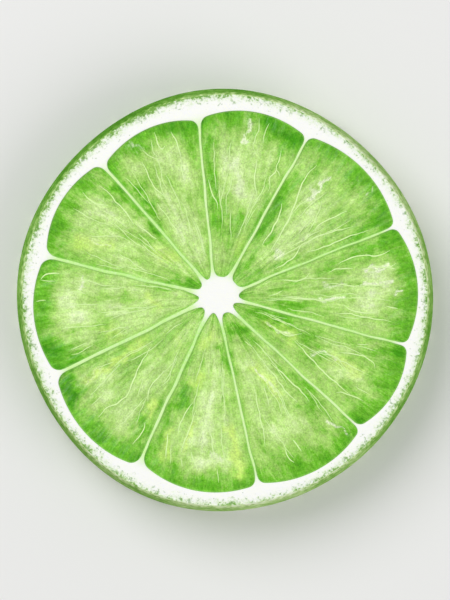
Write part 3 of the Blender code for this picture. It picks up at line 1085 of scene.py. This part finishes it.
def pulp_material():
    """Green with painted shade, drawn darker at the walls, the rim and the core, broken by noise
    along and across the sacs, with the washes, seams and threads on top."""
    n = Nodes("lime_pulp")
    flow = n.attribute("flow", "Vector")
    streak = n.noise(n.scaled(flow, (1.3, 0.17, 1.0)), 1.0, 4.0, 0.6)
    fine = n.noise(n.scaled(flow, (4.5, 0.9, 1.0)), 1.0, 4.0, 0.65)
    cloud = n.noise(n.scaled(flow, (0.42, 0.26, 1.0)), 1.0, 3.0)
    grain = n.noise(n.place(), 3.4, 2.0, 0.75)
    speck = n.noise(n.place(), 6.5, 1.0, 0.5)
    mottle = n.noise(n.place(), 1.3, 2.0, 0.6)
    # Painted shade: darker towards the pith ring, the core and the walls
    total = n.between(n.attribute("inside"), 0.0, 1.0, 0.19, 0.48)
    total = n.maths("SUBTRACT", total, n.share("painted_wall_shade", 0.035))
    total = n.add_away(
        total,
        (streak, 0.32),
        (fine, 0.34),
        (cloud, 0.64),
        (mottle, 0.30),
        (grain, 0.24),
        (speck, 0.18),
        (n.attribute("sac"), 0.10),
    )
    # Pale washes: painted light glowing through the flesh
    total = n.maths("ADD", total, n.share("pale", 0.48))
    # Dark washes: partly painted shade, partly darker tone
    total = n.maths("SUBTRACT", total, n.share("dark", 0.38))
    shade = n.ramp(
        total,
        (0.0, 70, 156, 10),
        (0.25, 114, 190, 44),
        (0.5, 170, 215, 108),
        (0.75, 204, 235, 152),
        (1.0, 230, 248, 196),
    )
    shade = n.mix(n.share("yellow", 0.9), shade, picked(214, 246, 124))
    seam = n.share("seam", n.between(cloud, 0.4, 0.65, 0.0, 0.35))
    shade = n.mix(seam, shade, picked(200, 232, 140))
    # Painted highlights: the white washes, broken up and mixed towards near white
    broken = n.maths("ADD", n.times(fine, 0.6), n.times(grain, 0.4))
    ragged = n.share("white", n.between(broken, 0.33, 0.62, 0.45, 1.5))
    shade = n.mix(n.between(ragged, 0.15, 1.1, 0.0, 0.9), shade, picked(240, 250, 215))
    bright = 0.975
    for scale, weight in ((5.4, 0.72), (2.3, 0.44), (0.95, 0.26), (0.45, 0.30)):
        bright = n.add_away(bright, (n.noise(n.place(), scale, 1.0), weight))
    shade = n.brighter(shade, bright)
    shade = n.mix(n.share("halo", 0.45), shade, picked(188, 234, 136))
    shade = n.mix(n.attribute("thread"), shade, picked(224, 255, 176))
    relief = n.bump(fine, 0.00006, 0.5)
    return n.surface(
        {
            "Base Color": shade,
            "Roughness": n.between(fine, 0.3, 0.7, 0.20, 0.38),
            "Normal": n.bump(grain, 0.00004, 0.5, relief),
            "Subsurface Weight": 0.15,
            "Subsurface Radius": (1.0, 1.0, 0.6),
            "Subsurface Scale": 0.00015,
            "Specular IOR Level": 0.4,
            "IOR": 1.36,
        }
    )


def cut_rind(n, place):
    """Colour of the rind where it is cut: green at the skin, in blots that thin out into the
    white of the pith."""
    reach = n.maths("ADD", n.share("depth", 0.9), 0.11)
    for scale, weight in ((3.2, 1.9), (1.2, 1.4), (0.35, 0.7)):
        reach = n.add_away(reach, (n.noise(place, scale, 3.0, 0.65), weight))
    # Painted shade: on the darker side the green reaches further into the rind
    reach = n.maths("SUBTRACT", reach, n.share("side_shade", 0.34))
    shade = n.ramp(
        n.times(reach, 0.6),
        (0.0, 126, 172, 84),
        (0.07, 176, 209, 144),
        (0.18, 220, 236, 202),
        (0.38, 241, 247, 233),
        (0.62, 248, 249, 244),
    )
    thinned = n.maths("SUBTRACT", n.noise(place, 2.3, 2.0, 0.6), n.times(reach, 0.16))
    return n.mix(n.between(thinned, 0.43, 0.64, 0.0, 0.66), shade, picked(104, 154, 70))


def pith_material():
    """White pith that is green next to the skin, and pale green walls."""
    n = Nodes("lime_pith")
    place = n.place()
    speck = n.noise(place, 3.2, 4.0, 0.7)
    patch = n.between(n.noise(place, 0.09, 1.0), 0.35, 0.65)
    wall = n.share("wall", n.between(speck, 0.3, 0.7, 0.75, 1.0))
    wall_green = n.mix(patch, picked(190, 242, 132), picked(210, 246, 161))
    return n.surface(
        {
            "Base Color": n.mix(wall, cut_rind(n, place), wall_green),
            "Roughness": n.between(speck, 0.3, 0.7, 0.5, 0.65),
            "Normal": n.bump(speck, 0.00006, 0.5),
            "Specular IOR Level": 0.25,
            "Subsurface Weight": 0.15,
            "Subsurface Radius": (1.0, 1.0, 0.7),
            "Subsurface Scale": 0.0003,
        }
    )


def skin_material():
    """Dark green skin, paler and flecked towards the cuts, and the cut edge itself. It has no
    gloss, which would show as grey along the edge."""
    n = Nodes("lime_skin")
    place = n.place()
    patch = n.noise(place, 0.16, 2.0)
    mottle = n.noise(place, 0.85, 2.0, 0.5)
    fine = n.noise(place, 5.0, 2.0, 0.5)
    fleck = n.noise(n.scaled(place, (1.0, 1.0, 0.6)), 1.5, 2.0, 0.55)
    flecked = n.between(n.attribute("from_cut"), 0.2, 1.9, 0.80, 0.20)
    tone = n.add_away(0.0, (patch, 0.34), (mottle, 0.30), (fine, 0.07), (fleck, flecked))
    # Painted shade: the skin is drawn darker on one side
    tone = n.maths("SUBTRACT", tone, n.share("side_shade", 0.27))
    rough_edge = n.noise(place, 2.2, 2.0)
    edge = n.add_away(n.attribute("from_cut"), (mottle, 2.6), (rough_edge, 2.0))
    # Painted shade: on the darker side the pale fringe at the cuts is narrower
    edge = n.maths("ADD", edge, n.share("side_shade", 0.8))
    tone = n.maths("ADD", tone, n.between(edge, -0.8, 2.2, 0.84, 0.60))
    shade = n.ramp(
        tone,
        (0.28, 56, 112, 24),
        (0.38, 70, 128, 32),
        (0.50, 98, 156, 54),
        (0.62, 140, 186, 92),
        (0.80, 204, 229, 162),
        (0.98, 236, 245, 218),
    )
    shade = n.mix(n.share("pore", 0.5), shade, picked(56, 106, 14))
    depth = n.attribute("depth")
    return n.surface(
        {
            "Base Color": n.mix(n.between(depth, 0.0, 0.12), shade, cut_rind(n, place)),
            "Roughness": n.between(depth, 0.0, 0.2, 0.26, 0.55),
            "Normal": n.bump(fine, 0.00003, 0.4),
            "Specular IOR Level": 0.0,
            "Subsurface Weight": 0.1,
            "Subsurface Radius": (1.0, 1.0, 0.5),
            "Subsurface Scale": 0.0003,
        }
    )


# Floor, light and camera

FLOOR_REACH = 2.0
LIGHT_SIZE = 0.5
WORLD_STRENGTH = 0.45

# A long lens far above the slice, and the height of the ground that its frame takes in
LENS = 800.0
SENSOR = 36.0
SEEN = 0.0719
CLIP_END = 20.0


def make_floor():
    """A pale floor under the slice."""
    mesh = bpy.data.meshes.new("floor")
    turns = ((-1, -1), (1, -1), (1, 1), (-1, 1))
    corners = [(FLOOR_REACH * x, FLOOR_REACH * y, 0) for x, y in turns]
    mesh.from_pydata(corners, [], [(0, 1, 2, 3)])
    floor = add_object("floor", mesh)
    pale = {"Base Color": (0.80, 0.80, 0.79, 1.0), "Roughness": 0.8}
    mesh.materials.append(Nodes("pale_floor").surface(pale))
    floor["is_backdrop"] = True


def make_light(name, place, power):
    """A soft round light at place, turned to the slice."""
    data = bpy.data.lights.new(name, "AREA")
    data.shape = "DISK"
    data.size = LIGHT_SIZE
    data.energy = power
    light = add_object(name, data)
    light.location = place
    light.rotation_euler = Vector(place).to_track_quat("Z", "Y").to_euler()


def make_camera():
    """The camera, straight above."""
    data = bpy.data.cameras.new("camera")
    data.lens = LENS
    data.sensor_width = SENSOR
    data.clip_end = CLIP_END
    camera = add_object("camera", data)
    camera.location = (0.0, 0.0, SEEN * LENS / SENSOR)
    bpy.context.scene.camera = camera


def make_world():
    """Even white light from all round."""
    world = bpy.data.worlds.new("studio")
    world.use_nodes = True
    background = world.node_tree.nodes["Background"]
    background.inputs["Color"].default_value = (1.0, 1.0, 1.0, 1.0)
    background.inputs["Strength"].default_value = WORLD_STRENGTH
    bpy.context.scene.world = world


bpy.context.scene.view_settings.view_transform = "Standard"
make_pith(pith_material())
make_skin(skin_material())
green = pulp_material()
for segment_number in range(len(SEGMENTS)):
    make_pulp(segment_number, green)
make_floor()
make_light("key", (-0.30, 0.30, 0.50), 2.5)
make_light("fill", (0.40, -0.25, 0.40), 1.3)
make_camera()
make_world()

boxes = {"cad": cad_box, "visual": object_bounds()}
{key: [list(map(float, c)) for c in box] for key, box in boxes.items()}
